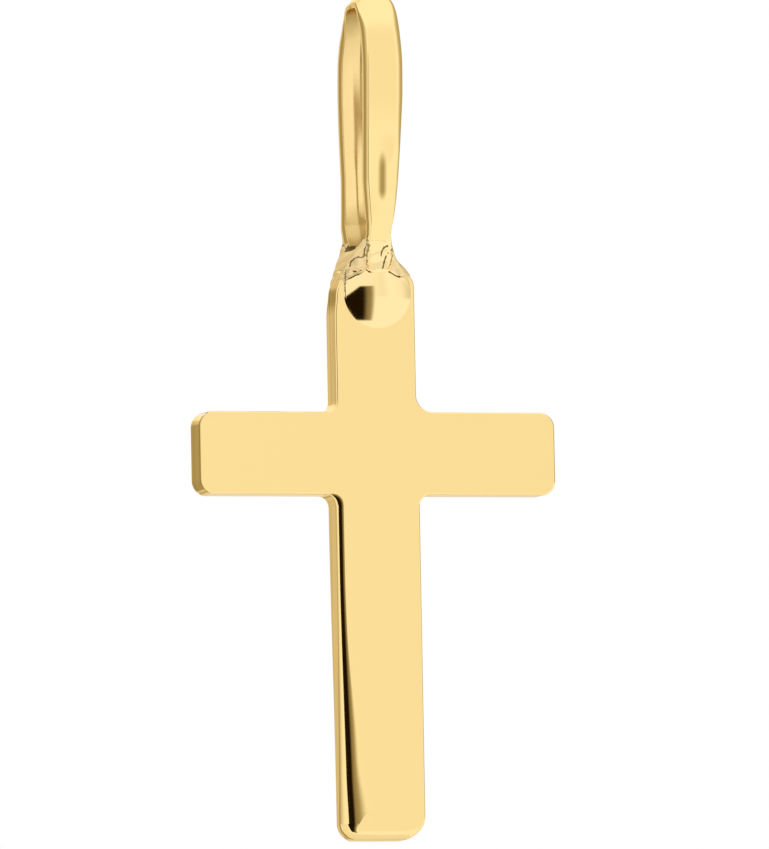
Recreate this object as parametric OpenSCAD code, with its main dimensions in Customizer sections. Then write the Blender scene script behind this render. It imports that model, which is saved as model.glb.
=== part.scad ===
// Cross pendant: a plain flat gold cross on a long narrow bail.
// Millimetres, Z up, front towards -Y. The origin is the middle of the bail's inner top,
// where a chain bears. Chain runs through the bail along X.

/* [Cross] */
// Height of the cross from its foot to the top of its shoulders
cross_h = 14.15; // [12.5:0.05:24]
// Thickness of the cross
plate_t = 0.75; // [0.6:0.05:1.4]
// Width of the upright above the bar
upper_w = 2.02; // [1.5:0.01:3]
// Width of the upright just below the bar
lower_w = 2.1; // [1.5:0.01:3]
// Width of the upright at its foot
foot_w = 2.08; // [1.5:0.01:3]
// Length of the bar
bar_l = 9.0; // [6:0.05:14]
// Height of the bar
bar_h = 2.0; // [1.2:0.05:3]
// Height of the middle of the bar above the foot of the cross
bar_z = 9.32; // [5:0.02:10.5]

/* [Shoulders] */
// Height of the sloping shoulders at the top of the upright
shoulder_h = 0.78; // [0.4:0.02:1.2]
// Width of the flat top between the shoulders
neck_w = 1.08; // [0.6:0.02:1.4]
// Radius where the upright turns into a shoulder
shoulder_r = 0.4; // [0.1:0.02:0.6]

/* [Rounding] */
// Radius in the four inner corners of the cross
inner_r = 0.27; // [0.1:0.01:0.5]
// Radius of the outer corners of the bar and the foot
outer_r = 0.36; // [0.34:0.01:0.6]
// Radius of the front edges on the bar and the upper part
edge_r = 0.08; // [0.03:0.01:0.2]
// Radius of the front edges on the lower part, where polishing has worn them round
worn_edge_r = 0.3; // [0.1:0.01:0.32]
// Radius of the back edges
back_edge_r = 0.06; // [0.03:0.01:0.2]

/* [Bail] */
// Height of the bail from the top of the cross to its own top
bail_h = 6.38; // [4:0.02:12]
// Depth of the bail from front to back at its widest
bail_depth = 2.65; // [2:0.05:6]
// Height of the widest part below the top of the bail
bail_belly = 2.15; // [1.3:0.05:3.2]
// Depth of the bail from front to back just above the cross
waist_depth = 2.24; // [1.9:0.02:4]
// Height above the cross at which the bail's legs start to close in on it
bend_rise = 0.46; // [0.4:0.01:1]
// Squareness of the bail's arch, where 2 is an ellipse
arch_power = 2.5; // [2:0.1:3.5]
// Sideways lean of the bail in degrees
bail_lean = 1.95; // [-5:0.05:5]

/* [Strip] */
// Width of the bail's strip at its widest
strip_w = 0.83; // [0.6:0.01:1.4]
// Width of the strip at the top of the bail
strip_top_w = 0.6; // [0.4:0.01:1]
// Width of the strip just above the cross
strip_low_w = 0.6; // [0.4:0.01:1]
// Thickness of the strip at its edges
strip_t = 0.42; // [0.25:0.01:0.6]
// Height of the crown on the strip's outer face
strip_crown = 0.06; // [0.04:0.01:0.2]

/* [Feet of the bail] */
// Width of the round foot at each end of the strip
pad_w = 1.68; // [1.2:0.02:1.9]
// Height of the middle of the foot above the face of the cross
pad_rise = 0.2; // [0.08:0.01:0.35]
// Distance from the top of the cross down to the middle of the foot
pad_drop = 0.96; // [0.8:0.02:1.4]

/* [Solder] */
// Width of the solder between the ends of the strip
solder_w = 1.2; // [0.8:0.02:1.6]
// Height of the solder above the top of the cross
solder_rise = 0.3; // [0.1:0.02:0.6]

/* [Hidden] */

GOLD = "#fcde98";
ARC_STEPS = 5;          // pieces in each corner's arc
EDGE_STEPS = 4;         // pieces in each rounded edge
STRIP_STEPS = 3;        // pieces across half of the strip's crown
ARCH_STEPS = 12;        // rings on one side of the bail's arch
LEG_STEPS = 8;          // rings from the belly of the bail to its bend
BEND_STEPS = 12;        // rings from the bend to the middle of the foot
PAD_STEPS = 7;          // rings from the middle of the foot to its end
wall_pieces = 8;        // pieces of the upright's sides below the bar
pad_end = 87;           // angle at which a foot's round end stops, just short of a point

chamfer = strip_t * 0.1;            // break of the strip's inner edges
sink = pad_rise * 0.15;             // how deep the rim of a foot lies in the face of the cross
bury = plate_t * 0.22;              // thickness of a foot inside the cross
solder_root = shoulder_h * 0.54;    // how far the solder reaches down inside the cross
pad_r = pad_w / 2;

// Heights above the foot of the cross
bar_low = bar_z - bar_h / 2;
bar_high = bar_z + bar_h / 2;
worn_full_z = bar_low * 0.41;
inner_top = cross_h + bail_h - strip_t - strip_crown;

// Drops below the top of the bail
bend_start = bail_h - bend_rise;
flare_start = bail_h - bend_rise / 2;
bend_end = bail_h + pad_drop * 0.5;
flare_end = bail_h + pad_drop * 0.65;
pad_centre = bail_h + pad_drop;
lean_zero = bail_h - bend_rise * 2;
top_shift = lean_zero * tan(bail_lean);

// Smooth step from 0 at a to 1 at b
function ease(a, b, v) = let (t = max(0, min(1, (v - a) / (b - a)))) t * t * (3 - 2 * t);
function mix(a, b, t) = a + (b - a) * t;
function unit(v) = v / norm(v);

// Corners of the right half of the cross: across, up and radius
RIGHT_CORNERS = [
    [foot_w / 2, 0, outer_r],
    [lower_w / 2, bar_low, inner_r],
    [bar_l / 2, bar_low, outer_r],
    [bar_l / 2, bar_high, outer_r],
    [upper_w / 2, bar_high, inner_r],
    [upper_w / 2, cross_h - shoulder_h, shoulder_r],
    [neck_w / 2, cross_h, shoulder_r / 2]
];
CORNERS = concat(
    RIGHT_CORNERS,
    [for (i = [len(RIGHT_CORNERS) - 1:-1:0]) let (c = RIGHT_CORNERS[i]) [-c[0], c[1], c[2]]]
);

// Points of one rounded corner, each as across, up and the outward direction
function corner_arc(i) =
    let (
        n = len(CORNERS),
        c = CORNERS[i],
        p = [c[0], c[1]],
        before = CORNERS[(i + n - 1) % n],
        after = CORNERS[(i + 1) % n],
        d_in = unit(p - [before[0], before[1]]),
        d_out = unit([after[0], after[1]] - p),
        turn = d_in[0] * d_out[1] - d_in[1] * d_out[0],
        side = sign(turn),
        angle = atan2(turn, d_in * d_out),
        r = c[2],
        start = p - d_in * r * tan(abs(angle) / 2),
        n_in = [d_in[1], -d_in[0]],
        centre = start - n_in * r * side
    )
    [for (k = [0:ARC_STEPS])
        let (
            a = angle * k / ARC_STEPS,
            dir = [n_in[0] * cos(a) - n_in[1] * sin(a), n_in[0] * sin(a) + n_in[1] * cos(a)]
        )
        concat(centre + dir * r * side, dir)];

// Points between the last point of one list and the first of the next, ends left out
function between(a, b, pieces) = [for (k = [1:pieces - 1]) mix(a, b, k / pieces)];

// The whole outline, with the sides of the lower upright cut into short pieces
OUTLINE = let (
    n = len(CORNERS),
    arcs = [for (i = [0:n - 1]) corner_arc(i)]
) [for (i = [0:n - 1])
    let (
        this_arc = arcs[i],
        next_arc = arcs[(i + 1) % n],
        long_side = i == 0 || i == n - 2,
        link = long_side ? between(this_arc[ARC_STEPS], next_arc[0], wall_pieces) : []
    )
    each concat(this_arc, link)];

function front_edge(z) = mix(worn_edge_r, edge_r, ease(worn_full_z, bar_low, z));

// One ring of the cross at angle a of its rounded edge, on the front or the back
function cross_ring(a, front) = [for (o = OUTLINE)
    let (
        r = front ? front_edge(o[1]) : back_edge_r,
        inset = r * (1 - cos(a)),
        y = plate_t / 2 - r * (1 - sin(a))
    )
    [o[0] - o[2] * inset, front ? -y : y, o[1] - o[3] * inset]];

CROSS_RINGS = concat(
    [for (k = [EDGE_STEPS:-1:0]) cross_ring(90 * k / EDGE_STEPS, false)],
    [for (k = [0:EDGE_STEPS]) cross_ring(90 * k / EDGE_STEPS, true)]
);

// The flat of the cross in convex pieces: strips from side to side, with the arms apart
FLAT = let (
    n = len(OUTLINE),
    arm_start = wall_pieces + 2 * ARC_STEPS,
    arm_end = wall_pieces + ARC_STEPS + 3 * (ARC_STEPS + 1),
    strips = concat([0:1:arm_start - 1], [arm_end:1:n / 2 - 2])
) concat(
    [for (span = strips, j = span) [j, j + 1, n - 2 - j, n - 1 - j]],
    [[arm_start, arm_end, n - 1 - arm_end, n - 1 - arm_start]],
    [[for (j = [arm_start:arm_end]) j]],
    [[for (j = [n - 1 - arm_end:n - 1 - arm_start]) j]]
);

// A closed solid skinned over rings that all have as many points, closed by the faces in cap
module skin(rings, cap) {
    n = len(rings[0]);
    last = len(rings) - 1;
    points = [for (ring = rings) each ring];
    walls = [for (i = [0:last - 1], j = [0:n - 1])
        let (a = i * n + j, b = i * n + (j + 1) % n)
        each [[a, a + n, b], [b, a + n, b + n]]];
    last_cap = [for (f = cap) [for (k = [len(f) - 1:-1:0]) f[k] + last * n]];
    polyhedron(points = points, faces = concat(cap, walls, last_cap), convexity = 10);
}

// Depth of the strip's outer face from the middle of the bail, at a drop below its top
function leg_depth(drop) =
    let (
        pad_top = plate_t / 2 + pad_rise,
        loop = mix(bail_depth / 2, waist_depth / 2, ease(bail_belly, bend_start, drop)),
        round_end = max(0, drop - pad_centre) / pad_r
    )
    mix(loop, pad_top, ease(bend_start, bend_end, drop))
        - (pad_rise + sink) * round_end * round_end;

function leg_width(drop) =
    let (
        loop = drop < bail_belly
            ? mix(strip_top_w, strip_w, ease(0, bail_belly, drop))
            : mix(strip_w, strip_low_w, ease(bail_belly, flare_start, drop)),
        reach = max(0, drop - pad_centre)
    )
    mix(loop, pad_w, ease(flare_start, flare_end, drop))
        * sqrt(max(0, 1 - pow(reach / pad_r, 2)));

// Crown of the outer face, which swells into the dome of the foot
function leg_crown(drop) =
    let (round_end = max(0, drop - pad_centre) / pad_r)
    mix(strip_crown, pad_rise + sink, ease(flare_start, flare_end, drop))
        * (1 - round_end * round_end);

function leg_edge_t(drop) = mix(strip_t, bury, ease(bend_start, bend_end, drop));

// Sideways place of the strip's middle, which leans until it meets the cross
function leg_shift(drop) =
    (lean_zero - drop) * tan(bail_lean) * (1 - ease(bend_start, bend_end, drop));

// Stations down one leg of the bail: the drop below the top, and the depth
LEG = concat(
    [for (k = [0:ARCH_STEPS - 1])
        let (a = 90 * k / ARCH_STEPS)
        [
            bail_belly * (1 - pow(cos(a), 2 / arch_power)),
            bail_depth / 2 * pow(sin(a), 2 / arch_power)
        ]],
    [for (k = [0:LEG_STEPS - 1])
        let (drop = mix(bail_belly, bend_start, k / LEG_STEPS)) [drop, leg_depth(drop)]],
    [for (k = [0:BEND_STEPS - 1])
        let (drop = mix(bend_start, pad_centre, k / BEND_STEPS)) [drop, leg_depth(drop)]],
    [for (k = [0:PAD_STEPS])
        let (drop = pad_centre + pad_r * sin(pad_end * k / PAD_STEPS)) [drop, leg_depth(drop)]]
);
last_leg = len(LEG) - 1;

// The path of the outer face from the end of the front foot, over the top, to the back foot
PATH = concat(
    [for (i = [last_leg:-1:1]) [-LEG[i][1], LEG[i][0]]],
    [for (i = [0:last_leg]) [LEG[i][1], LEG[i][0]]]
);
last_path = len(PATH) - 1;

// One ring of the strip, square to its path
function strip_ring(i) =
    let (
        p = PATH[i],
        way = unit(PATH[min(i + 1, last_path)] - PATH[max(i - 1, 0)]),
        out = [way[1], way[0]],
        drop = p[1],
        w = leg_width(drop),
        crown = leg_crown(drop),
        deep = crown + leg_edge_t(drop),
        cut = min(chamfer, w / 4),
        outer = [for (k = [-STRIP_STEPS:STRIP_STEPS])
            let (u = k / STRIP_STEPS) [u * w / 2, -crown * u * u]],
        inner = [
            [w / 2, cut - deep], [w / 2 - cut, -deep],
            [cut - w / 2, -deep], [-w / 2, cut - deep]
        ]
    )
    [for (q = concat(outer, inner))
        [
            q[0] + leg_shift(drop),
            p[0] + out[0] * q[1],
            cross_h + bail_h - drop + out[1] * q[1]
        ]];

// The flat cross with its rounded edges and sloping shoulders
module cross_body() {
    skin(CROSS_RINGS, FLAT);
}

// The strip bent into the bail, with a round foot on the front and the back of the cross
module bail_strip() {
    rings = [for (i = [0:last_path]) strip_ring(i)];
    skin(rings, [[for (j = [0:len(rings[0]) - 1]) j]]);
}

// The solder that closes the bottom of the loop
module solder() {
    tall = solder_rise + solder_root;
    deep = waist_depth - 2 * strip_t;
    translate([0, 0, cross_h + (solder_rise - solder_root) / 2])
        hull()
            scale([solder_w, deep, tall])
                sphere(d = 1, $fn = 20);
}

// Cross, bail and solder are one piece of metal
module pendant() {
    color(GOLD)
        translate([-top_shift, 0, -inner_top])
            union() {
                cross_body();
                bail_strip();
                solder();
            }
}

pendant();
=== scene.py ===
import math

import bpy
import numpy as np
from mathutils import Matrix, Vector
from mathutils.geometry import delaunay_2d_cdt


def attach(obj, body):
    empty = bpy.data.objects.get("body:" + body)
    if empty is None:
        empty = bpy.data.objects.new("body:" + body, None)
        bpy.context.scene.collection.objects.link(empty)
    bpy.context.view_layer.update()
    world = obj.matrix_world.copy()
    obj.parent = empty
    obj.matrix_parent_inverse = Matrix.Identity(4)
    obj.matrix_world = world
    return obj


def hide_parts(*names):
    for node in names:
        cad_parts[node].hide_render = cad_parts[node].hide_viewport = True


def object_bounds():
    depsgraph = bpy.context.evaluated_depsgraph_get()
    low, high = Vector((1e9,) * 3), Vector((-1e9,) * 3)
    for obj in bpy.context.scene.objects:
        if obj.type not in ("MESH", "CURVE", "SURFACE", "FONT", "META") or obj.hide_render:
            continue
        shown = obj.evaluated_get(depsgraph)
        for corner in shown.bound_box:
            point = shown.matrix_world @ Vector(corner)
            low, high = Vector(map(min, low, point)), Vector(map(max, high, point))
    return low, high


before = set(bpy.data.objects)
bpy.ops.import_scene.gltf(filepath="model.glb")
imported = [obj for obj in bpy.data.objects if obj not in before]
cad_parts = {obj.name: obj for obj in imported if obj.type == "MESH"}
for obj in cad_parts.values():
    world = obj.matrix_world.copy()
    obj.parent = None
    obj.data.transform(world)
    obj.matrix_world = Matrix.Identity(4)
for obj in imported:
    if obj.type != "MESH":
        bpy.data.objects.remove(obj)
cad_low, cad_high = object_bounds()

# All sizes are millimetres, and meshes turn them into metres at the end.
MM = 0.001

# The cross, with heights measured up from its foot
CROSS_H = 14.15
PLATE_T = 0.75
UPPER_W = 2.02
LOWER_W = 2.1
FOOT_W = 2.08
BAR_H = 2.0
BAR_Z = 9.32
INNER_R = 0.27
UPPER_INNER_R = 0.42
OUTER_R = 0.36
FOOT_R = 0.58
FOOT_LEFT_R = 0.42
BACK_EDGE_R = 0.06
FRONT_EDGE_R = 0.045
FRONT_LIP_R = 0.05

# The bail and its strip
BAIL_H = 6.38
BAIL_BELLY = 2.15
WAIST_DEPTH = 2.24
ARCH_POWER = 2.5
BEND_RISE = 0.46
STRIP_T = 0.42
PAD_R = 0.84
PAD_RISE = 0.2
PAD_DROP = 0.96

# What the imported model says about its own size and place
BAIL_DEPTH = (cad_high.y - cad_low.y) / MM
BAR_L = (cad_high.x - cad_low.x) / MM
CROSS_X = (cad_high.x + cad_low.x) / 2 / MM
FOOT_Z = cad_low.z / MM

BAR_LOW = BAR_Z - BAR_H / 2
BAR_HIGH = BAR_Z + BAR_H / 2

# The photograph: its frame, its scale and where the camera stood
PHOTO_W = 769
PHOTO_H = 849
PX_PER_MM = 41.5
VIEW_AZIMUTH = math.radians(-17.5)
VIEW_ELEVATION = math.radians(-4.5)
VIEW_ROLL = math.radians(1.1)
CAMERA_DISTANCE = 300.0
BAR_CENTRE_PX = (372.9, 454.5)


def ease(a, b, v):
    """Smooth step from 0 at a to 1 at b."""
    t = np.clip((np.asarray(v, float) - a) / (b - a), 0.0, 1.0)
    return t * t * (3.0 - 2.0 * t)


def mix(a, b, t):
    return a + (b - a) * t


def unit(v):
    return v / np.linalg.norm(v, axis=-1, keepdims=True)


def make_mesh(name, points, faces, normals):
    """A mesh object from points in millimetres in the cross's own frame, with given normals."""
    mesh = bpy.data.meshes.new(name)
    placed = (np.asarray(points) + [CROSS_X, 0.0, FOOT_Z]) * MM
    mesh.from_pydata(placed.tolist(), [], faces)
    mesh.validate()
    mesh.update()
    mesh.polygons.foreach_set("use_smooth", [True] * len(mesh.polygons))
    mesh.normals_split_custom_set_from_vertices(np.asarray(normals).tolist())
    obj = bpy.data.objects.new(name, mesh)
    bpy.context.scene.collection.objects.link(obj)
    return obj


def ring_faces(rows, columns):
    """Quads between closed rings of points, ring by ring."""
    faces = []
    for i in range(rows - 1):
        for j in range(columns):
            k = (j + 1) % columns
            faces.append((i * columns + j, i * columns + k, (i + 1) * columns + k, (i + 1) * columns + j))
    return faces


def grid_normals(grid):
    """Normals of a grid of rings, each ring closed on itself."""
    along = np.gradient(grid, axis=0)
    around = np.roll(grid, -1, axis=1) - np.roll(grid, 1, axis=1)
    return unit(np.cross(around, along))


# The cross

# The shoulders at the right and at the left, filed to different slopes
SHOULDERS = [
    (UPPER_W / 2, 13.48, 0.4),
    (0.47, CROSS_H, 0.15),
    (-0.48, CROSS_H, 0.15),
    (-0.8, 13.72, 0.3),
    (-UPPER_W / 2, 13.27, 0.6),
]

ARC_STEPS = 14
SIDE_SPACING = 0.09
FACE_SPACING = 0.14


def cross_corners():
    """Corners of the outline, anticlockwise seen from the front: across, up and radius."""
    right = [
        (FOOT_W / 2, 0.0, FOOT_R),
        (LOWER_W / 2, BAR_LOW, INNER_R),
        (BAR_L / 2, BAR_LOW, OUTER_R),
        (BAR_L / 2, BAR_HIGH, OUTER_R),
        (UPPER_W / 2, BAR_HIGH, INNER_R),
    ]
    left = [(-x, z, r) for x, z, r in reversed(right)]
    right[-1] = (UPPER_W / 2, BAR_HIGH, UPPER_INNER_R)
    left[-1] = (-FOOT_W / 2, 0.0, FOOT_LEFT_R)
    return right + SHOULDERS + left


def corner_arc(before, corner, after):
    """Points of one rounded corner, with the outward direction at each."""
    p = np.array(corner[:2])
    way_in = unit(p - np.array(before[:2]))
    way_out = unit(np.array(after[:2]) - p)
    turn = way_in[0] * way_out[1] - way_in[1] * way_out[0]
    angle = math.atan2(turn, way_in @ way_out)
    side = math.copysign(1.0, turn)
    start = p - way_in * corner[2] * math.tan(abs(angle) / 2)
    out = np.array([way_in[1], -way_in[0]])
    centre = start - out * corner[2] * side
    a = angle * np.linspace(0.0, 1.0, ARC_STEPS + 1)[:, None]
    dirs = np.hstack([out[0] * np.cos(a) - out[1] * np.sin(a), out[0] * np.sin(a) + out[1] * np.cos(a)])
    return centre + dirs * corner[2] * side, dirs


def cross_outline():
    """Points round the whole cross and the outward direction at each."""
    corners = cross_corners()
    n = len(corners)
    arcs = [corner_arc(corners[i - 1], corners[i], corners[(i + 1) % n]) for i in range(n)]
    points, dirs = [], []
    for i in range(n):
        here, way = arcs[i]
        following = arcs[(i + 1) % n]
        points.append(here)
        dirs.append(way)
        pieces = int(np.linalg.norm(following[0][0] - here[-1]) / SIDE_SPACING)
        if pieces > 1:
            t = (np.arange(1, pieces) / pieces)[:, None]
            points.append(mix(here[-1], following[0][0], t))
            dirs.append(np.repeat(way[-1:], pieces - 1, axis=0))
    return np.vstack(points), np.vstack(dirs)


# The drafts of the walls at the bar's left end and at the left shoulder
END_DRAFT = math.radians(2.5)
SHOULDER_DRAFT = math.radians(3.5)

# The plate's edge turns from the face to the wall in three stretches that meet at these two tilts
LIP_TILT = math.radians(7)
SIDE_TILT = math.radians(22)
RING_TILTS = np.radians([0, 1.2, 2.5, 3.8, 5.3, 7, 10, 13, 16, 19, 22, 30, 40, 50, 60, 70, 80, 90])


def on_stem(x):
    """1 on the upright, 0 on the bar's left end, and soft between."""
    return ease(-UPPER_W / 2 - 0.35, -UPPER_W / 2 - 0.1, x)


def below_bar(z):
    return 1 - ease(BAR_LOW - 0.2, BAR_LOW + 0.1, z)


def front_edge(points, dirs):
    """Radii of the front edge near the wall, at its turn and at its lip, where polishing wore it."""
    x, z = points.T
    stem = on_stem(x)
    left = ease(0.1, 0.6, -dirs[:, 0]) * stem * below_bar(z)
    worn_side = mix(0.22, 0.075, ease(0.0, BAR_LOW * 0.8, z)) + 0.06 * (1 - ease(0.2, 1.6, z))
    worn_lip = mix(mix(3.8, 1.7, ease(0.5, 2.0, z)), 0.3, ease(2.0, 5.2, z))
    side = mix(FRONT_EDGE_R, worn_side, left)
    turn = mix(FRONT_EDGE_R, mix(0.72, 0.44, ease(0.5, 6.5, z)), left)
    lip = mix(FRONT_LIP_R, worn_lip, left)
    foot = ease(0.3, 0.9, -dirs[:, 1]) * (1 - ease(0.3, 0.6, z))
    toe = ease(0.75, 1.0, -dirs[:, 1]) * (1 - ease(0.2, 0.4, z))
    side = mix(side, 0.26, foot)
    turn = mix(turn, 0.17, toe)
    lip = mix(lip, 0.2, toe)
    end = ease(0.05, 0.5, -dirs[:, 0]) * (1 - stem)
    return mix(side, 0.008, end), mix(turn, 0.008, end), mix(lip, 0.45, end)


def back_edge(points, dirs):
    """Radius of the back edge, which is worn at the left of the stem and at the left end of the bar."""
    x, z = points.T
    stem = on_stem(x)
    left = ease(0.1, 0.6, -dirs[:, 0])
    worn = mix(0.26, 0.08, ease(1.0, 8.0, z)) * stem + 0.16 * (1 - stem)
    shoulder = ease(12.5, 13.2, z)
    worn = mix(worn, 0.28, shoulder)
    worn = mix(worn, 0.1, ease(13.8, 13.95, z))
    return mix(BACK_EDGE_R, worn, left * np.maximum(np.maximum(below_bar(z), shoulder), 1 - stem))


def edge_point(radii, tilt):
    """How far inward and back from the sharp corner the rounded edge is, where it tilts so far."""
    marks = (0.0, LIP_TILT, SIDE_TILT, math.pi / 2)
    inward, back = 0.0, 0.0
    for radius, low, high in zip(radii[::-1], marks, marks[1:]):
        start = min(max(tilt, low), high)
        inward = inward + radius * (math.sin(high) - math.sin(start))
        back = back + radius * (math.cos(low) - math.cos(start))
    return inward, back


# The front face: the radius of its crown, and the slope where it falls back at the shoulders
FACE_BEND_R = 400.0
ROOF_Z = CROSS_H - 0.52
ROOF_SLOPE = math.tan(math.radians(25))
ROOF_SOFT = 0.05


def face_sink(x, z):
    """How far the front face lies behind a true plane: a faint crown, and a slope at the shoulders."""
    over = z - ROOF_Z
    roof = ROOF_SLOPE * (over + np.sqrt(over * over + ROOF_SOFT * ROOF_SOFT)) / 2
    return x * x / (2 * FACE_BEND_R) + roof


def face_slope(x, z):
    """How fast the front face falls back towards the right and upwards."""
    step = 0.01
    gx = (face_sink(x + step, z) - face_sink(x - step, z)) / (2 * step)
    gz = (face_sink(x, z + step) - face_sink(x, z - step)) / (2 * step)
    return gx, gz


def cross_ring(points, dirs, tilt, front):
    """One ring round the rounded edge, where it tilts so far from the face, and its normals."""
    radii = front_edge(points, dirs) if front else [back_edge(points, dirs)] * 3
    inset, back = edge_point(radii, tilt)
    end = ease(0.05, 0.5, -dirs[:, 0]) * (1 - on_stem(points[:, 0]))
    shoulder = ease(12.6, 13.2, points[:, 1]) * ease(0.3, 0.8, -dirs[:, 0])
    draft = END_DRAFT * end + SHOULDER_DRAFT * shoulder
    if front:
        inset = inset + PLATE_T * np.tan(draft)
    flat = points - dirs * inset[:, None]
    sink = face_sink(flat[:, 0], flat[:, 1])
    gx, gz = face_slope(flat[:, 0], flat[:, 1])
    s, c = math.cos(tilt), math.sin(tilt)
    side = -1.0 if front else 1.0
    y = side * (PLATE_T / 2 - back - sink * s)
    ring = np.column_stack([flat[:, 0], y, flat[:, 1]])
    across = side * s - np.sin(draft) * c
    normals = np.column_stack([dirs[:, 0] * c + gx * s, across, dirs[:, 1] * c + gz * s])
    return ring, unit(normals)


def face_cap(ring, front):
    """Triangles and inner points that close the cross at one of its two faces."""
    edge = [Vector((p[0], p[2])) for p in ring]
    n = len(edge)
    low, high = ring.min(axis=0), ring.max(axis=0)
    xs = np.arange(low[0] + FACE_SPACING, high[0], FACE_SPACING)
    zs = np.arange(low[2] + FACE_SPACING, high[2], FACE_SPACING)
    grid = np.array([(x, z) for z in zs for x in xs])
    flat = ring[:, [0, 2]]
    gap = np.array([np.min(np.abs(flat - g).max(axis=1)) for g in grid])
    grid = grid[gap > FACE_SPACING * 0.6]
    loop = [list(range(n))]
    verts, _, faces, origin, _, _ = delaunay_2d_cdt(
        edge + [Vector(g) for g in grid], [], loop, 1, 1e-6)
    index, extra, extra_normals = {}, [], []
    side = -1.0 if front else 1.0
    for i, v in enumerate(verts):
        source = [k for k in origin[i] if k < n]
        if source:
            index[i] = source[0]
            continue
        index[i] = n + len(extra)
        sink = float(face_sink(v.x, v.y))
        gx, gz = face_slope(v.x, v.y)
        extra.append((v.x, side * (PLATE_T / 2 - sink), v.y))
        extra_normals.append((gx, side, gz))
    triangles = [tuple(index[i] for i in f) for f in faces]
    return triangles, np.array(extra), unit(np.array(extra_normals))


def build_cross():
    points, dirs = cross_outline()
    n = len(points)
    rings = [cross_ring(points, dirs, a, True) for a in RING_TILTS]
    rings += [cross_ring(points, dirs, a, False) for a in RING_TILTS[::-1]]
    co = [r[0] for r in rings]
    no = [r[1] for r in rings]
    faces = [tuple(reversed(f)) for f in ring_faces(len(rings), n)]
    for front, start in ((True, 0), (False, (len(rings) - 1) * n)):
        ring = co[0] if front else co[len(rings) - 1]
        triangles, extra, extra_normals = face_cap(ring, front)
        base = sum(len(c) for c in co)
        for t in triangles:
            t = tuple(start + k if k < n else base + k - n for k in t)
            faces.append(t if front else tuple(reversed(t)))
        co.append(extra)
        no.append(extra_normals)
    return make_mesh("cross", np.vstack(co), faces, np.vstack(no))


# The bail

LEG_END = BAIL_H + 0.04
BEND_START = BAIL_H - 0.73
BEND_SLOPE = math.tan(math.radians(27.5))
BEND_SOFT = 0.12

# How finely the bail is cut along its arch, its leg and its bend
ARCH_STATIONS = 80
LEG_STATIONS = 70
BEND_STATIONS = 50
BEND_LEAD = 0.3

# How finely a curve through marks is sampled, and over how many samples it is smoothed
CURVE_SAMPLES = 701
CURVE_BLUR = 23

# Left and right edges of the strip: drop below the top, negative on the near leg, and how far across
LEFT_EDGE = [
    (-7.0, -0.20), (-6.5, -0.22), (-6.1, -0.29), (-5.5, -0.343), (-4.66, -0.404), (-3.7, -0.408),
    (-2.7, -0.408), (-1.8, -0.40), (-0.5, -0.40), (0.0, -0.37), (0.3, -0.325), (0.85, -0.285),
    (1.6, -0.338), (2.5, -0.355), (3.5, -0.36), (4.5, -0.355), (5.3, -0.383), (5.7, -0.40), (7.0, -0.42),
]
RIGHT_EDGE = [
    (-7.0, 0.34), (-6.4, 0.335), (-5.9, 0.285), (-5.5, 0.345), (-5.14, 0.395), (-4.66, 0.44),
    (-3.7, 0.499), (-2.7, 0.567), (-1.8, 0.58), (-1.0, 0.555), (-0.4, 0.545), (0.0, 0.50),
    (0.4, 0.48), (0.85, 0.49), (1.6, 0.53), (2.5, 0.53), (3.5, 0.50), (4.5, 0.45), (5.4, 0.38), (7.0, 0.36),
]


def smooth_curve(marks, at):
    """A curve through the marks with its corners rounded off."""
    x = np.linspace(marks[0][0], marks[-1][0], CURVE_SAMPLES)
    y = np.interp(x, *np.transpose(marks))
    weights = np.hanning(CURVE_BLUR)
    padded = np.pad(y, CURVE_BLUR // 2, mode="edge")
    y = np.convolve(padded, weights / weights.sum(), mode="valid")
    return np.interp(at, x, y)


def leg_depth(drop):
    """Depth of the strip's outer face from the middle of the bail."""
    loop = mix(BAIL_DEPTH / 2, WAIST_DEPTH / 2, ease(BAIL_BELLY, BAIL_H - BEND_RISE, drop))
    past = np.asarray(drop) - BEND_START - 0.06
    return loop - BEND_SLOPE * (past + np.sqrt(past * past + BEND_SOFT * BEND_SOFT)) / 2


def leg_stations():
    """Drops below the top and depths, down one leg of the bail."""
    a = np.linspace(0.0, math.pi / 2, ARCH_STATIONS, endpoint=False)
    arch_drop = BAIL_BELLY * (1 - np.cos(a) ** (2 / ARCH_POWER))
    arch_depth = BAIL_DEPTH / 2 * np.sin(a) ** (2 / ARCH_POWER)
    leg = np.linspace(BAIL_BELLY, BEND_START - BEND_LEAD, LEG_STATIONS, endpoint=False)
    bend = np.linspace(BEND_START - BEND_LEAD, LEG_END, BEND_STATIONS)
    lower = np.concatenate([leg, bend])
    drop = np.concatenate([arch_drop, lower])
    depth = np.concatenate([arch_depth, leg_depth(lower)])
    return drop, depth


# Turns of the strip's left side from its outer to its inner face: radius, and tilts from and to in degrees
SIDE_TURNS = [(0.30, 60, 72), (0.03, 72, 80), (1.10, 80, 87), (0.03, 87, 94), (2.55, 94, 97.5)]
SIDE_STEPS = 7


def left_side(signed):
    """The strip's left side as offsets from where its outer face ends, chamfered at the arch."""
    arch = 1 - float(ease(0.25, 1.15, abs(signed)))
    turns = [(0.024, 0, 36), (0.03 + 3.0 * arch, 36, 43), (0.045, 43, 60)]
    turns += [(radius * (1 - 0.7 * arch), start, stop) for radius, start, stop in SIDE_TURNS]
    turns += [(0.05 if signed < 0 else 0.012, 97.5, 180)]
    x, y = [0.0], [0.0]
    for radius, start, stop in turns:
        a = np.radians(np.linspace(start, stop, SIDE_STEPS + 1))
        middle = (a[1:] + a[:-1]) / 2
        step = radius * (a[1] - a[0])
        for m in middle:
            x.append(x[-1] - step * math.cos(m))
            y.append(y[-1] - step * math.sin(m))
    return np.array(x), np.array(y)


# Where the near leg's ridge and the far leg's trough run, across from the middle
RIDGE_X = 0.0
TROUGH_X = -0.02


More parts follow.
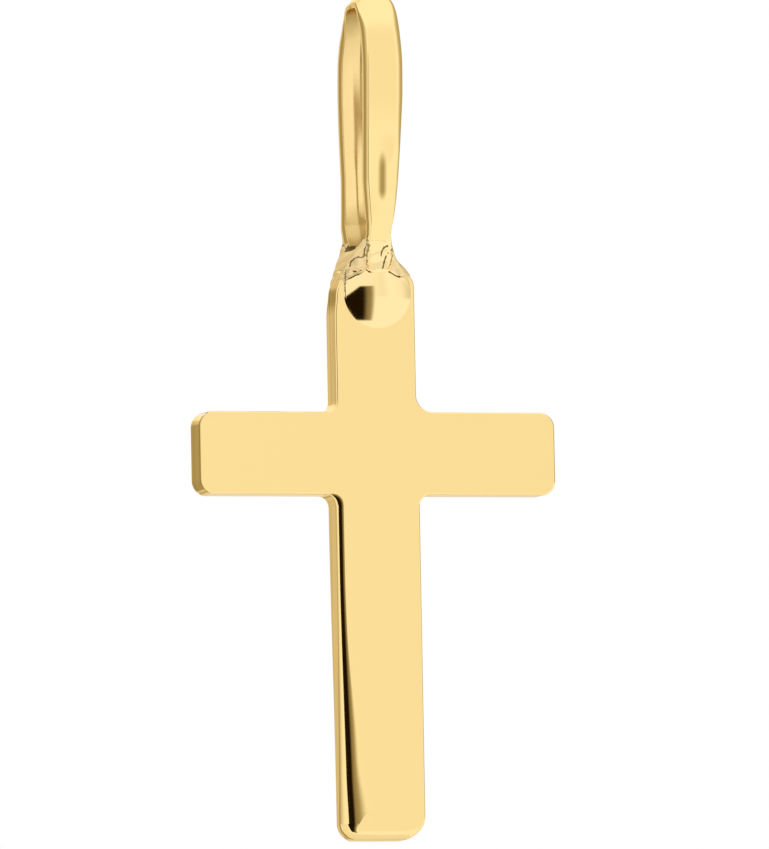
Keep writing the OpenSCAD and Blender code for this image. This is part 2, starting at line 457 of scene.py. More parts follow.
def outer_relief(x, signed):
    """The faint ridge on the front of the near leg, as height above the outer face."""
    if signed > 0:
        return np.zeros_like(x)
    reach = float(ease(3.5, 4.4, -signed) * (1 - ease(4.9, 5.5, -signed)))
    rise = 0.5 + 0.5 * np.tanh((x - RIDGE_X) / 0.14)
    return 0.029 * reach * rise * (1 - ease(0.15, 0.42, x))


def inner_relief(x, signed):
    """How deep the inner face is hollowed: a trough whose floor steps where the far leg narrows."""
    if signed < 0:
        return 0.05 * (1 - (2 * (x - x.mean()) / np.ptp(x)) ** 2)
    order = np.argsort(x)
    across = x[order]
    lower = float(ease(2.9, 4.4, signed) * (1 - ease(5.1, 5.5, signed)))
    upper = float(1 - ease(1.3, 2.9, signed))
    bend = float(1 - 0.8 * ease(4.9, 5.9, signed))
    left_slope = 0.21 * bend
    right_slope = mix(-0.10, 0.17, max(lower, upper))
    slope = mix(left_slope, right_slope, ease(TROUGH_X - 0.05, TROUGH_X + 0.03, across))
    wide = float(1 - ease(3.5, 4.5, signed))
    step = np.exp(-((across - TROUGH_X) / mix(0.022, 0.065, wide)) ** 2) * -mix(0.42, 0.3, wide) * lower
    back = ease(0.14, 0.22, across) * (1 - ease(0.42, 0.5, across)) * -0.42
    slope = slope * (1 - ease(0.12, 0.2, across)) + step + back
    depth = np.concatenate([[0.0], np.cumsum((slope[1:] + slope[:-1]) / 2 * np.diff(across))])
    result = np.empty_like(depth)
    result[order] = np.clip(depth, 0.0, 0.16)
    return result


# How many points a cross section has along its outer face, each rounded edge and its inner face
OUTER_POINTS = 34
TURN_POINTS = 12
INNER_POINTS = 50
INNER_START = OUTER_POINTS + (TURN_POINTS - 1) + TURN_POINTS
INNER_COLUMNS = range(INNER_START, INNER_START + INNER_POINTS)


def strip_section(signed):
    """One closed cross section of the strip: across, and out from the path."""
    drop = abs(signed)
    left = float(smooth_curve(LEFT_EDGE, signed))
    right = float(smooth_curve(RIGHT_EDGE, signed))
    side_x, side_y = left_side(signed)
    side_x = side_x + left - side_x.min()
    side_y = side_y * (STRIP_T / -side_y[-1])
    right_r = float(mix(0.24, 0.16, ease(2.6, 4.0, drop)))
    low_r = 0.05
    outer_x = np.linspace(side_x[0], right - right_r, OUTER_POINTS)
    a = np.linspace(0.0, math.pi / 2, TURN_POINTS)
    turn_x = right - right_r + right_r * np.sin(a[1:])
    turn_y = right_r * (np.cos(a[1:]) - 1)
    low_x = right - low_r + low_r * np.cos(a)
    low_y = -STRIP_T + low_r - low_r * np.sin(a)
    inner_x = np.linspace(right - low_r, side_x[-1], INNER_POINTS + 2)[1:-1]
    outer_y = outer_relief(outer_x, signed)
    inner_y = -STRIP_T + inner_relief(inner_x, signed)
    x = np.concatenate([outer_x, turn_x, low_x, inner_x, side_x[:0:-1]])
    y = np.concatenate([outer_y, turn_y, low_y, inner_y, side_y[:0:-1]])
    return np.column_stack([x, y])


# The strip narrows towards its end, so that the end hides in the solder
END_SHRINK = 0.22

# Finishes of the bail, in the order of its materials; both inner faces also carry painted shade
OUTSIDE, NEAR_INSIDE, FAR_INSIDE = range(3)


def bail_finish(rows, columns, near):
    """The finish of each face of the strip; the first rows, as many as near, are the near leg."""
    finish = []
    for row in range(rows - 1):
        inside = FAR_INSIDE if row > near else NEAR_INSIDE
        finish += [inside if column in INNER_COLUMNS else OUTSIDE for column in range(columns)]
    return finish + [OUTSIDE, OUTSIDE]


def build_bail():
    drop, depth = leg_stations()
    path = np.column_stack([
        np.concatenate([-depth[:0:-1], depth]),
        np.concatenate([drop[:0:-1], drop]),
    ])
    way = unit(np.gradient(path, axis=0))
    rings = []
    for p, w in zip(path, way):
        section = strip_section(math.copysign(p[1], p[0]))
        middle = np.array([section[:, 0].mean(), -STRIP_T / 2])
        section = middle + (section - middle) * (1 - END_SHRINK * float(ease(BAIL_H - 0.3, LEG_END, p[1])))
        x = section[:, 0]
        y = p[0] + w[1] * section[:, 1]
        z = CROSS_H + BAIL_H - p[1] + w[0] * section[:, 1]
        rings.append(np.column_stack([x, y, z]))
    grid = np.array(rings)
    rows, columns = grid.shape[:2]
    faces = ring_faces(rows, columns)
    faces.append(tuple(range(columns)))
    faces.append(tuple(reversed(range((rows - 1) * columns, rows * columns))))
    obj = make_mesh("bail", grid.reshape(-1, 3), faces, grid_normals(grid).reshape(-1, 3))
    obj.data.polygons.foreach_set("material_index", bail_finish(rows, columns, len(drop) - 1))
    return obj


# The solder

NET_STEP = 0.018
NET_LOW = np.array([-1.1, -1.15, 12.21])
NET_HIGH = np.array([1.1, 1.15, 14.7])

PAD_X = 0.07
PAD_Z = CROSS_H - PAD_DROP
DOME_R = (PAD_R ** 2 + PAD_RISE ** 2) / (2 * PAD_RISE)

# Where the legs' round ends stop in the solder, and the radius of their edges there
LEG_TOP_Z = 14.62
LEG_LOW_Z = 13.3
LEG_EDGE_R = 0.08

# The solder's sides: height, and how far it reaches to the left, right and front there
SKIRT_LEFT = [
    (12.9, 0.8), (13.2, 0.93), (13.54, 0.86), (13.9, 0.7), (14.1, 0.59), (14.27, 0.49), (14.45, 0.42),
    (14.7, 0.34),
]
SKIRT_RIGHT = [
    (12.9, 0.8), (13.2, 0.98), (13.47, 0.96), (13.66, 0.88), (13.83, 0.73), (13.97, 0.57), (14.2, 0.43),
    (14.7, 0.2),
]
SKIRT_FRONT = [
    (13.2, 0.30), (13.55, 0.37), (13.75, 0.44), (14.0, 0.60), (14.2, 0.74), (14.4, 0.84), (14.7, 0.9),
]

# Where the solder ends, hidden inside the plate
SKIRT_BOTTOM = 12.6

# Small lumps: pixel of the photograph, radius, and how far it stands out as a share of the radius
LUMPS = [
    (356, 264, 0.17, 0.2), (348, 272.5, 0.07, 0.3),
    (391.5, 244, 0.075, 0.3), (400, 273, 0.1, 0.2),
]

# Creases of the solder, each as points in the photograph's frame
CREASES = [
    [(350, 266), (351, 262), (354, 258.5), (358, 257), (362, 257.5), (364.5, 256)],
    [(353, 271), (357, 271.5), (361, 270)],
    [(336, 274), (339, 272), (342, 271.5)],
    [(364, 255), (364.5, 250), (366, 245), (367.5, 240)],
    [(381, 256), (381.5, 251), (384, 247.5), (387, 246)],
    [(386, 256), (384, 262), (382.5, 268)],
    [(389, 272), (393, 274.5), (397, 276.5), (401, 277), (405, 275.5)],
]
# Thin dark lines of painted shade with no depth
SHADE_LINES = [
    [(345.5, 272), (345, 283), (345.3, 291), (346, 298)],
    [(388, 253), (391, 253.5)],
]
SHADE_LINE_R = 0.024
CREASE_R = 0.02
CREASE_SINK = 0.012
LUMP_BLEND = 0.1
SIGHT_REACH = 2.0
SIGHT_STEP = 0.01
LINE_JUMP = 0.4


def soft_min(a, b, blend):
    h = np.clip(0.5 + 0.5 * (a - b) / blend, 0.0, 1.0)
    return a + (b - a) * h - blend * h * (1.0 - h)


def soft_max(a, b, blend):
    return -soft_min(-a, -b, blend)


def leg_field(p):
    """Below zero inside the lower ends of the bail's legs, where they flow into the feet."""
    x, y, z = p[..., 0], p[..., 1], p[..., 2]
    drop = CROSS_H + BAIL_H - z
    signed = np.where(y < 0, -drop, drop)
    left = smooth_curve(LEFT_EDGE, signed)
    right = smooth_curve(RIGHT_EDGE, signed)
    middle = leg_depth(drop) - STRIP_T / 2
    across = np.abs(x - (left + right) / 2) - (right - left) / 2 + LEG_EDGE_R
    deep = np.abs(np.abs(y) - middle) - STRIP_T / 2 + LEG_EDGE_R
    out = np.hypot(np.maximum(across, 0), np.maximum(deep, 0)) + np.minimum(np.maximum(across, deep), 0)
    ends = np.maximum(z - LEG_TOP_Z, LEG_LOW_Z - z)
    flow = 1 - ease(14.2, 14.6, z)
    wave = np.sin(11 * x + 3 * np.sin(6 * z)) * np.sin(9 * z + 2 * x)
    grown = out - LEG_EDGE_R + mix(0.02, -0.008, flow) + 0.008 * flow * wave
    return soft_max(grown, ends, 0.05)


def feet_field(p):
    """Below zero inside the bail's two round feet and the legs that run into them."""
    x, depth, z = p[..., 0], np.abs(p[..., 1]), p[..., 2]
    centre = PLATE_T / 2 + PAD_RISE - DOME_R
    ball = np.sqrt((x - PAD_X) ** 2 + (depth - centre) ** 2 + (z - PAD_Z) ** 2) - DOME_R
    dome = np.maximum(ball, PLATE_T / 2 - 0.06 - depth)
    sunk = leg_field(p) + 0.09 * (1 - ease(13.5, 13.95, z))
    return soft_min(dome, sunk, 0.06)


def skirt_field(p):
    """Below zero inside the solder that fills the space between the legs and runs down to the shoulders."""
    x, y, z = p[..., 0], p[..., 1], p[..., 2]
    left = -x - np.interp(z, *np.transpose(SKIRT_LEFT))
    right = x - np.interp(z, *np.transpose(SKIRT_RIGHT))
    front = np.abs(y) - np.interp(z, *np.transpose(SKIRT_FRONT))
    top = z - 14.3 - 0.35 * y * y
    wave = np.sin(9 * x + 2 * np.sin(7 * z)) * np.sin(8 * z + 2 * np.sin(8 * x) + 3 * y)
    sides = soft_max(soft_max(right, front, 0.22), left, 0.02)
    return soft_max(soft_max(sides, top, 0.2) + 0.012 * wave, SKIRT_BOTTOM - z, 0.05)


def view_axes():
    """Directions to the right, up and back towards the camera."""
    a, e, roll = VIEW_AZIMUTH, VIEW_ELEVATION, VIEW_ROLL
    back = np.array([math.sin(a) * math.cos(e), -math.cos(a) * math.cos(e), math.sin(e)])
    level = np.array([math.cos(a), math.sin(a), 0.0])
    upright = np.cross(back, level)
    right = level * math.cos(roll) - upright * math.sin(roll)
    up = upright * math.cos(roll) + level * math.sin(roll)
    return right, up, back


def seen_point(u, v, field_of):
    """Where the photograph's line of sight through a pixel first meets a form, or nothing."""
    right, up, back = view_axes()
    across = (u - BAR_CENTRE_PX[0]) / PX_PER_MM
    above = (BAR_CENTRE_PX[1] - v) / PX_PER_MM
    base = np.array([0.0, 0.0, BAR_Z]) + right * across + up * above
    steps = np.arange(SIGHT_REACH, -SIGHT_REACH, -SIGHT_STEP)
    line = base + back * steps[:, None]
    hits = np.flatnonzero(field_of(line) < 0)
    return line[hits[0]] if len(hits) else None


def joint_field(p):
    return np.minimum(feet_field(p), skirt_field(p))


def placed_lumps():
    """The small lumps as balls, each set into the surface that the photograph shows at its pixel."""
    balls = []
    for u, v, radius, proud in LUMPS:
        at = seen_point(u, v, joint_field)
        if at is not None:
            balls.append((at - view_axes()[2] * radius * (1 - proud), radius))
    return balls


def solder_field(p, balls):
    """Below zero inside the solder and its lumps."""
    total = skirt_field(p)
    for centre, radius in balls:
        total = soft_min(total, np.linalg.norm(p - centre, axis=-1) - radius, LUMP_BLEND)
    return total


def line_segments(lines, balls):
    """Lines seen in the photograph as short straight pieces just under the surface."""
    def field_of(p):
        return np.minimum(feet_field(p), solder_field(p, balls))

    sunk = view_axes()[2] * CREASE_SINK
    segments = []
    for line in lines:
        points = [seen_point(u, v, field_of) for u, v in line]
        points = [q - sunk for q in points if q is not None]
        segments += [(a, b) for a, b in zip(points, points[1:]) if np.linalg.norm(b - a) < LINE_JUMP]
    return segments


def line_distance(p, segments):
    """How far each point is from the nearest line."""
    nearest = np.full(len(p), 9.0)
    for a, b in segments:
        along = b - a
        t = np.clip((p - a) @ along / (along @ along), 0.0, 1.0)
        nearest = np.minimum(nearest, np.linalg.norm(p - a - t[:, None] * along, axis=-1))
    return nearest


def crease_radius(p):
    """A crease's half width, which comes and goes along it."""
    x, z = p[..., 0], p[..., 2]
    return CREASE_R * (0.82 + 0.35 * np.sin(23 * x + 31 * z) * np.sin(19 * z - 29 * x))


def cut_creases(total, p, segments):
    """The field with its creases cut in, worked out only close to the surface."""
    close = np.abs(total) < 0.1
    result = total.copy()
    near = p[close]
    result[close] = soft_max(total[close], crease_radius(near) - line_distance(near, segments), 0.015)
    return result


def from_corner(array, offset, shape):
    """An array as it is at one corner of every cell."""
    return array[tuple(slice(o, o + n) for o, n in zip(offset, shape))]


def net_points(field, grid, step):
    """A point in each cell that the surface crosses, and each cell's place in that list or -1."""
    shape = tuple(n - 1 for n in field.shape)
    total = np.zeros(shape + (3,))
    count = np.zeros(shape)
    for axis, i, j in np.ndindex(3, 2, 2):
        start = [0, 0, 0]
        start[(axis + 1) % 3] = i
        start[(axis + 2) % 3] = j
        stop = list(start)
        stop[axis] = 1
        a, b = from_corner(field, start, shape), from_corner(field, stop, shape)
        crosses = (a < 0) != (b < 0)
        t = np.where(crosses, a / np.where(a == b, 1.0, a - b), 0.0)
        at = from_corner(grid, start, shape) + t[..., None] * (np.array(stop) - start) * step
        total += np.where(crosses[..., None], at, 0.0)
        count += crosses
    used = count > 0
    index = np.full(shape, -1)
    index[used] = np.arange(used.sum())
    return total[used] / count[used][:, None], index


def net_faces(inside, index):
    """Quads round each grid edge that the surface crosses, all facing outward."""
    faces = []
    for axis in range(3):
        u, v = (axis + 1) % 3, (axis + 2) % 3
        a = np.take(inside, range(inside.shape[axis] - 1), axis=axis)
        b = np.take(inside, range(1, inside.shape[axis]), axis=axis)
        cells = np.argwhere(a != b)
        ring = []
        for du, dv in ((-1, -1), (0, -1), (0, 0), (-1, 0)):
            at = cells.copy()
            at[:, u] += du
            at[:, v] += dv
            ring.append(index[tuple(at.T)])
        quads = np.stack(ring, axis=-1)
        solid_first = a[tuple(cells.T)]
        faces.append(np.where(solid_first[:, None], quads, quads[:, ::-1]))
    return np.vstack(faces).tolist()


SETTLE_ROUNDS = 3


def surface_net(field_of, low, high, step):
    """Points and quads of the surface where a field is zero, with its normals."""
    axes = [np.arange(a, b + step, step) for a, b in zip(low, high)]
    grid = np.stack(np.meshgrid(*axes, indexing="ij"), axis=-1)
    field = field_of(grid)
    points, index = net_points(field, grid, step)
    tiny = step * 0.05
    for _ in range(SETTLE_ROUNDS):
        slope = np.stack([
            (field_of(points + e) - field_of(points - e)) / (2 * tiny) for e in np.eye(3) * tiny], axis=-1)
        size = np.linalg.norm(slope, axis=-1, keepdims=True)
        move = -field_of(points)[:, None] * slope / size ** 2
        points = points + np.clip(move, -step * 0.4, step * 0.4)
    return points, net_faces(field < 0, index), slope / size


# How softly feet and solder meet, where the solder's finish starts, and half the width of the seam darkened
# with painted shade
JOINT_BLEND = 0.085
SOLDER_RIM = 0.03
SEAM_W = 0.026

# Heights above which the seam and the far leg's inner side are darkened with painted shade
SEAM_LOW_Z = 13.85
RECESS_SHADE_LOW_Z = 14.24

# Finishes of the joint, in the order of its materials; the last two are dark colours painted as shade in
# creases, seams, thin lines and the far leg's inner side
FEET, SOLDER, SHADED_CREASE, SHADED_RECESS = range(4)


def build_joint():
    """The round feet and the solder in one form: polished feet, rougher solder, and dark colour painted as
    shade in the creases, along the seams, in thin lines and on the far leg's inner side by the solder.
    """
    balls = placed_lumps()
    segments = line_segments(CREASES, balls)
    shade_lines = line_segments(SHADE_LINES, balls)

    def field_of(p):
        return cut_creases(soft_min(feet_field(p), solder_field(p, balls), JOINT_BLEND), p, segments)

    points, faces, normals = surface_net(field_of, NET_LOW, NET_HIGH, NET_STEP)
    obj = make_mesh("soldered_joint", points, faces, normals)
    polygons = obj.data.polygons
    middles = np.empty(len(polygons) * 3)
    polygons.foreach_get("center", middles)
    middles = middles.reshape(-1, 3) / MM - [CROSS_X, 0.0, FOOT_Z]
    margin = solder_field(middles, balls) - feet_field(middles)
    finish = np.where(margin < SOLDER_RIM, SOLDER, FEET)
    x, y, z = middles.T
    seam = np.abs(margin) < SEAM_W * (1 + np.sin(27 * x + 21 * z) * np.sin(33 * z - 17 * x))
    # The seam between solder and feet is painted dark brown as shade
    finish[seam & (z > SEAM_LOW_Z)] = SHADED_CREASE
    far_inner = (y > 0) & (y < leg_depth(CROSS_H + BAIL_H - z) - STRIP_T + 0.03)
    # The far leg's inner side next to the solder is painted near black as shade
    finish[far_inner & (z > RECESS_SHADE_LOW_Z) & (x < -0.2)] = SHADED_RECESS
    # The creases are painted dark brown as shade
    finish[line_distance(middles, segments) < crease_radius(middles) + 0.001] = SHADED_CREASE
    # Thin lines are painted dark brown as shade
    finish[line_distance(middles, shade_lines) < SHADE_LINE_R] = SHADED_CREASE
    polygons.foreach_set("material_index", finish)
    return obj


# Helpers for shader nodes

def feed(tree, socket, value):
    """Set a socket to a plain value, or link another node's output to it."""
    if isinstance(value, bpy.types.NodeSocket):
        tree.links.new(value, socket)
    else:
        socket.default_value = value


def used_output(node):
    return [s for s in node.outputs if s.enabled][0]


def noise(tree, place, scale, detail=2.0):
    """Noise of a given scale, in waves to the metre."""
    node = tree.nodes.new("ShaderNodeTexNoise")
    node.inputs["Scale"].default_value = scale
    node.inputs["Detail"].default_value = detail
    tree.links.new(place, node.inputs["Vector"])
    return node.outputs["Fac"]


def stretched(tree, place, scales):
    node = tree.nodes.new("ShaderNodeMapping")
    node.inputs["Scale"].default_value = scales
    tree.links.new(place, node.inputs["Vector"])
    return node.outputs["Vector"]


def maths(tree, kind, *values):
    node = tree.nodes.new("ShaderNodeMath")
    node.operation = kind
    for socket, value in zip(node.inputs, values):
        feed(tree, socket, value)
    return node.outputs[0]


def map_range(tree, value, start, stop, low=0.0, high=1.0, kind="LINEAR"):
    """A value's way from start to stop, turned into one from low to high."""
    node = tree.nodes.new("ShaderNodeMapRange")
    node.interpolation_type = kind
    feed(tree, node.inputs["Value"], value)
    feed(tree, node.inputs["From Min"], start)
    feed(tree, node.inputs["From Max"], stop)
    feed(tree, node.inputs["To Min"], low)
    feed(tree, node.inputs["To Max"], high)
    return node.outputs["Result"]


def mixed(tree, kind, a, b, factor, blend_type="MIX"):
    """A mix of two numbers (kind FLOAT) or two colours (kind RGBA)."""
    node = tree.nodes.new("ShaderNodeMix")
    node.data_type = kind
    node.blend_type = blend_type
    feed(tree, node.inputs["A"], a)
    feed(tree, node.inputs["B"], b)
    feed(tree, node.inputs["Factor"], factor)
    return used_output(node)


def colour_ramp(tree, value, marks):
    """A colour for each value from 0 to 1, between marks that are each a value and a colour."""
    node = tree.nodes.new("ShaderNodeValToRGB")
    tree.links.new(value, node.inputs["Fac"])
    elements = node.color_ramp.elements
    while len(elements) > 1:
        elements.remove(elements[-1])
    elements[0].position = marks[0][0]
    elements[0].color = (*marks[0][1], 1.0)
    for place, colour in marks[1:]:
        elements.new(place).color = (*colour, 1.0)
    return node.outputs["Color"]


# Materials

GOLD = (0.965, 0.725, 0.31)
PALE_GOLD = (0.965, 0.75, 0.36)
SOLDER_GOLD = (0.92, 0.72, 0.37)
# Darker, greyer gold painted as shade on the near leg's inner face
SHADED_INSIDE_GOLD = (0.6, 0.5, 0.27)
# Dark brown painted as shade in creases, seams and thin lines
SHADED_CREASE_GOLD = (0.4, 0.3, 0.12)
# Near black painted as shade on the far leg's inner side by the solder
SHADED_RECESS_GOLD = (0.13, 0.095, 0.04)
GLANCING_TINT = (1.0, 0.86, 0.62, 1.0)

# Tints of the far leg's inner face by drop, painted shade: darker at the arch, clear in the middle, and
# darker down to near black near the solder
FAR_SHADE_GRADES = [
    (0.2, (0.5, 0.46, 0.36)), (0.7, (0.85, 0.83, 0.78)), (1.6, (1, 1, 1)), (4.8, (1, 1, 1)),
    (5.5, (0.7, 0.66, 0.55)), (5.75, (0.45, 0.4, 0.3)), (5.95, (0.14, 0.11, 0.07)),
]
GRADE_REACH = 7.0
GRADE_SLANT = 0.7
GRADE_FUZZ = 0.8

# Roughness, from the smoothest to the roughest spots
POLISHED = (0.04, 0.09)
MATT = (0.4, 0.6)

# Scales of the noises, in waves to the metre, and heights of the bumps in metres
SWELL_SCALE = 260.0
POLISH_SCALE = 2200.0
FUZZ_SCALE = 900.0
LINE_SCALE = 4500.0
STREAK_SCALE = 9000.0
LINE_STRETCH = (0.08, 1.0, 0.05)
STREAK_STRETCH = (0.01, 1.0, 0.02)
WAVE_HEIGHT = 8e-6
LINE_HEIGHT = 2e-6


def grade_tint(tree, place, colour, grades):
    """Multiply a colour by tints of painted shade that change with drop below the bail's top, further on to
    the right.
    """
    slant = tree.nodes.new("ShaderNodeVectorMath")
    slant.operation = "DOT_PRODUCT"
    slant.inputs[1].default_value = (GRADE_SLANT / MM, 0.0, -1.0 / MM)
    tree.links.new(place, slant.inputs[0])
    fuzz = noise(tree, place, FUZZ_SCALE)
    drop = maths(tree, "MULTIPLY_ADD", fuzz, GRADE_FUZZ, slant.outputs["Value"])
    marks = [(at / GRADE_REACH, tint) for at, tint in grades]
    tints = colour_ramp(tree, map_range(tree, drop, 0.0, GRADE_REACH), marks)
    return mixed(tree, "RGBA", colour, tints, 1.0, "MULTIPLY")


def streak_tint(tree, place, normal, colour, strength):
    """Darken a colour along fine lines that run up the walls of the plate."""
    lines = noise(tree, stretched(tree, place, STREAK_STRETCH), STREAK_SCALE)
    shade = map_range(tree, lines, 0.5, 0.65, 1.0, 1.0 - strength)
    facing = tree.nodes.new("ShaderNodeSeparateXYZ")
    tree.links.new(normal, facing.inputs[0])
    flat = maths(tree, "ABSOLUTE", facing.outputs["Y"])
    product = tree.nodes.new("ShaderNodeVectorMath")
    product.operation = "SCALE"
    tree.links.new(colour, product.inputs[0])
    tree.links.new(map_range(tree, flat, 0.3, 0.7, shade, 1.0), product.inputs["Scale"])
    return product.outputs["Vector"]


def wavy_normal(tree, place, swell):
    """The surface's direction, with drawn lines and soft waves a few millimetres wide."""
    drawn_lines = tree.nodes.new("ShaderNodeBump")
    drawn_lines.inputs["Distance"].default_value = LINE_HEIGHT
    lines = noise(tree, stretched(tree, place, LINE_STRETCH), LINE_SCALE)
    tree.links.new(lines, drawn_lines.inputs["Height"])
    waves = tree.nodes.new("ShaderNodeBump")
    waves.inputs["Distance"].default_value = WAVE_HEIGHT
    tree.links.new(swell, waves.inputs["Height"])
    tree.links.new(drawn_lines.outputs["Normal"], waves.inputs["Normal"])
    return waves.outputs["Normal"]


def gold_material(name, tint, roughness, grades=None, streaks=0.0):
    """Gold with soft waves, drawn lines and uneven polish, and where asked for streaks and tints of painted
    shade.
    """
    mat = bpy.data.materials.new(name)
    mat.use_nodes = True
    tree = mat.node_tree
    shader = tree.nodes["Principled BSDF"]
    shader.inputs["Metallic"].default_value = 1.0
    shader.inputs["Specular Tint"].default_value = GLANCING_TINT
    coordinates = tree.nodes.new("ShaderNodeTexCoord")
    place = coordinates.outputs["Object"]
    swell = noise(tree, place, SWELL_SCALE, 1.0)
    darker = (*[c * 0.985 for c in tint], 1.0)
    colour = mixed(tree, "RGBA", darker, (*tint, 1.0), swell)
    if grades:
        colour = grade_tint(tree, place, colour, grades)
    if streaks:
        colour = streak_tint(tree, place, coordinates.outputs["Normal"], colour, streaks)
    tree.links.new(colour, shader.inputs["Base Color"])
    polish = noise(tree, place, POLISH_SCALE, 3.0)
    tree.links.new(map_range(tree, polish, 0.0, 1.0, *roughness), shader.inputs["Roughness"])
    tree.links.new(wavy_normal(tree, place, swell), shader.inputs["Normal"])
    return mat


# The studio: directions are degrees round from the front, growing to the left, and degrees up.
# Its levels are fitted to the reflections seen at the photograph's own angle. From the straight
# front and just right of it, the flat face reflects the dark place.

# Brightness of the walls at the height of the pendant
WALL_LEVELS = [
    (-180, 0.6), (-162, 0.42), (-140, 0.5), (-110, 0.55), (-88, 0.55), (-70, 0.78), (-55, 1.04),
    (-35, 1.1), (-25, 1.0), (-20, 1.0), (-13, 1.03), (30, 1.08), (45, 1.1), (75, 1.02), (105, 0.8),
    (140, 0.44), (158, 0.42), (163, 0.76), (180, 0.8),
]
CEILING_LEVEL = 1.14
ZENITH_LEVEL = 0.8
BACK_LEVEL = 1.15
FRONT_FLOOR_LEVEL = 1.09
LEFT_FLOOR_LEVEL = 0.97
RIGHT_FLOOR_LEVEL = 0.86
CORNER_LEVEL = 0.42

# How dark the dark place is along its right edge
DARK_EDGE = [
    (-20, 0), (-12, 0), (-10, 0.12), (-8, 0.38), (-6, 0.58), (-4, 0.67), (1, 0.76), (5, 0.94), (8, 1),
]
DARK_EDGE_REACH = 20
DARK_TOP_SLANT = 0.704
DARK_LOW_SLANT = 1.7

# The light's colour by half its brightness: brown where dark, white, and faintly blue where bright
LIGHT_TONES = [
    (0.0, (0.012, 0.006, 0.0)), (0.15, (0.29, 0.24, 0.14)), (0.25, (0.49, 0.45, 0.33)),
    (0.5, (1.0, 1.0, 1.0)), (0.7, (1.4, 1.45, 1.7)),
]


def soft_step(tree, value, start, stop):
    return map_range(tree, value, start, stop, kind="SMOOTHSTEP")


def grey(level):
    return (level, level, level)


def studio_directions(tree):
    """Each direction's degrees round from the front and degrees up."""
    place = tree.nodes.new("ShaderNodeTexCoord")
    split = tree.nodes.new("ShaderNodeSeparateXYZ")
    tree.links.new(place.outputs["Generated"], split.inputs[0])
    x, y, z = split.outputs
    to_degrees = 180 / math.pi
    turn = maths(tree, "ARCTAN2", maths(tree, "MULTIPLY", x, -1.0), maths(tree, "MULTIPLY", y, -1.0))
    around = maths(tree, "MULTIPLY", turn, to_degrees)
    up = maths(tree, "MULTIPLY", maths(tree, "ARCSINE", z), to_degrees)
    return around, up


def lit_walls(tree, around, up):
    """Brightness by direction, without the dark place in front."""
    def step(value, start, stop):
        return soft_step(tree, value, start, stop)

    marks = [((angle + 180) / 360, grey(level)) for angle, level in WALL_LEVELS]
    lit = colour_ramp(tree, maths(tree, "MULTIPLY_ADD", around, 1 / 360, 0.5), marks)
    lit = mixed(tree, "FLOAT", lit, CEILING_LEVEL, step(up, 25, 50))
    lit = mixed(tree, "FLOAT", lit, ZENITH_LEVEL, step(up, 80, 88))
    behind = maths(tree, "ADD", step(around, 167, 171), step(around, -164, -168))
    lit = mixed(tree, "FLOAT", lit, BACK_LEVEL, maths(tree, "MULTIPLY", behind, step(up, 9, 13)))
    rear = maths(tree, "ADD", step(around, 128, 134), step(around, -170, -175))
    low = maths(tree, "MULTIPLY", step(up, 1.5, -3.5), maths(tree, "SUBTRACT", 1.0, rear))
    floor = mixed(tree, "FLOAT", FRONT_FLOOR_LEVEL, LEFT_FLOOR_LEVEL, step(around, 20, 60))
    floor = mixed(tree, "FLOAT", floor, RIGHT_FLOOR_LEVEL, step(around, -135, -150))
    lit = mixed(tree, "FLOAT", lit, floor, low)
    lean = maths(tree, "MULTIPLY_ADD", up, 0.9, around)
    corner = maths(tree, "MULTIPLY", step(lean, 157, 153), step(up, 0.0, -4.0))
    return mixed(tree, "FLOAT", lit, CORNER_LEVEL, maths(tree, "MULTIPLY", corner, step(around, 136, 142)))


def dark_place(tree, around, up):
    """1 in the dark place in front on the left, whose right edge is soft and whose corners are slanted."""
    reach = 2 * DARK_EDGE_REACH
    marks = [((angle + DARK_EDGE_REACH) / reach, grey(level)) for angle, level in DARK_EDGE]
    right = colour_ramp(tree, maths(tree, "MULTIPLY_ADD", around, 1 / reach, 0.5), marks)
    top_slant = maths(tree, "MULTIPLY_ADD", around, DARK_TOP_SLANT, up)
    down = maths(tree, "MULTIPLY", up, -1.0)
    low_slant = maths(tree, "MULTIPLY_ADD", around, DARK_LOW_SLANT, down)
    low_left = maths(tree, "MAXIMUM", soft_step(tree, low_slant, 74, 70), soft_step(tree, up, -6, -3))
    dark = right
    for side in (
        soft_step(tree, top_slant, 24.5, 21.5),
        soft_step(tree, up, 15.5, 13.5),
        soft_step(tree, around, 85, 75),
        soft_step(tree, up, -38, -35),
        low_left,
    ):
        dark = maths(tree, "MULTIPLY", dark, side)
    return dark


def world_light():
    """A studio as brightness by direction, which the camera itself sees as plain white."""
    world = bpy.data.worlds.new("studio")
    bpy.context.scene.world = world
    world.use_nodes = True
    tree = world.node_tree
    tree.nodes.clear()
    around, up = studio_directions(tree)
    lit = mixed(tree, "FLOAT", lit_walls(tree, around, up), 0.0, dark_place(tree, around, up))
    tone = colour_ramp(tree, maths(tree, "MULTIPLY", lit, 0.5), LIGHT_TONES)
    seen = tree.nodes.new("ShaderNodeLightPath")
    colour = mixed(tree, "RGBA", tone, (1.0, 1.0, 1.0, 1.0), seen.outputs["Is Camera Ray"])
    background = tree.nodes.new("ShaderNodeBackground")
    tree.links.new(colour, background.inputs["Color"])
    output = tree.nodes.new("ShaderNodeOutputWorld")
    tree.links.new(background.outputs[0], output.inputs["Surface"])


FLOOR_R = 0.12
FLOOR_Z = -0.16


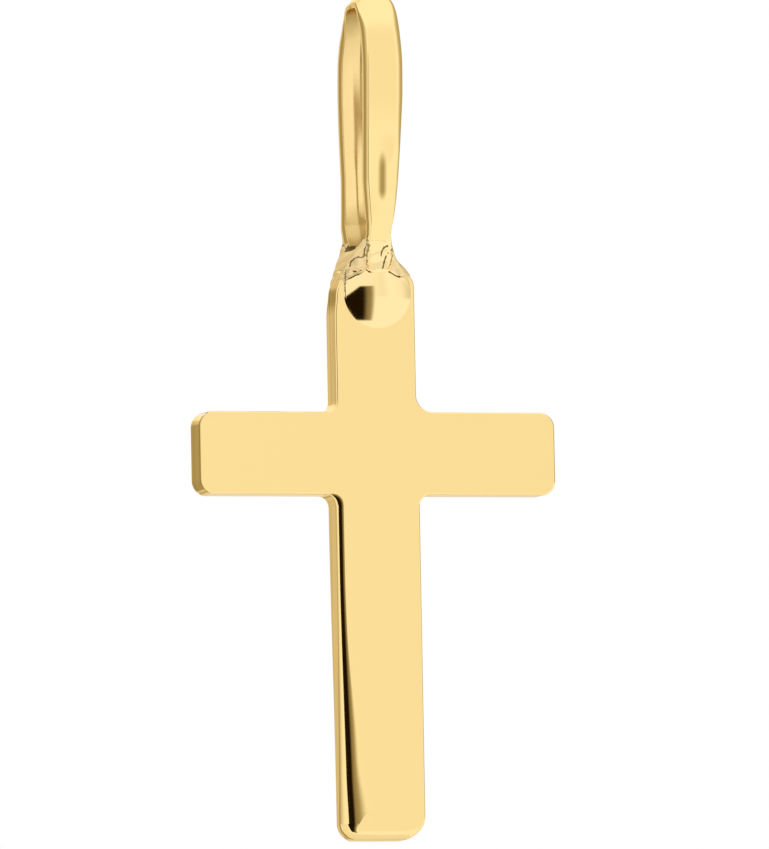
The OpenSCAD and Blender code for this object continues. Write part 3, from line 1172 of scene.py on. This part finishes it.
def build_floor():
    """A plain pale round floor, far enough below for the camera to look slightly up."""
    place = (0, 0, FLOOR_Z)
    bpy.ops.mesh.primitive_circle_add(vertices=96, radius=FLOOR_R, fill_type="NGON", location=place)
    floor = bpy.context.object
    floor.name = "floor"
    mat = bpy.data.materials.new("pale_floor")
    mat.use_nodes = True
    shader = mat.node_tree.nodes["Principled BSDF"]
    shader.inputs["Base Color"].default_value = (0.93, 0.93, 0.92, 1.0)
    shader.inputs["Roughness"].default_value = 0.9
    floor.data.materials.append(mat)


def build_camera():
    """The photograph's view: from the left, slightly below, with a small roll."""
    right, up, back = (Vector(v) for v in view_axes())
    bar_centre = Vector((CROSS_X, 0.0, FOOT_Z + BAR_Z))
    off_x = (PHOTO_W / 2 - BAR_CENTRE_PX[0]) / PX_PER_MM
    off_y = (PHOTO_H / 2 - BAR_CENTRE_PX[1]) / PX_PER_MM
    target = bar_centre + right * off_x - up * off_y
    data = bpy.data.cameras.new("camera")
    data.sensor_fit = "AUTO"
    data.sensor_width = 36.0
    data.lens = data.sensor_width * CAMERA_DISTANCE / (PHOTO_H / PX_PER_MM)
    data.clip_start = 0.01
    data.clip_end = 10.0
    camera = bpy.data.objects.new("camera", data)
    bpy.context.scene.collection.objects.link(camera)
    turn = Matrix((right, up, back)).transposed()
    camera.matrix_world = Matrix.Translation((target + back * CAMERA_DISTANCE) * MM) @ turn.to_4x4()
    bpy.context.scene.camera = camera


polished = gold_material("polished_gold", GOLD, POLISHED)
pale = gold_material("pale_gold", PALE_GOLD, (0.04, 0.1))
solder_gold = gold_material("solder_gold", SOLDER_GOLD, (0.44, 0.58))
drawn = gold_material("drawn_gold", GOLD, POLISHED, streaks=0.16)
# The far leg's inner face carries tints of painted shade
far_inside = gold_material("far_inside_gold", GOLD, (0.26, 0.36), grades=FAR_SHADE_GRADES)
# Painted shade for the near leg's inner face
near_inside = gold_material("near_inside_gold", SHADED_INSIDE_GOLD, (0.35, 0.5))
# Painted shade for creases, seams and thin lines
crease_shade_material = gold_material("painted_crease_shade_gold", SHADED_CREASE_GOLD, MATT)
# Painted shade for the far leg's inner side by the solder
recess_shade_material = gold_material("painted_recess_shade_gold", SHADED_RECESS_GOLD, MATT)
pieces = [
    (build_cross(), [drawn]),
    (build_bail(), [polished, near_inside, far_inside]),
    (build_joint(), [pale, solder_gold, crease_shade_material, recess_shade_material]),
]
for piece, materials in pieces:
    for material in materials:
        piece.data.materials.append(material)
    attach(piece, "root")
    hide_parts("pendant")

world_light()
build_floor()
build_camera()
bpy.context.scene.view_settings.view_transform = "Standard"
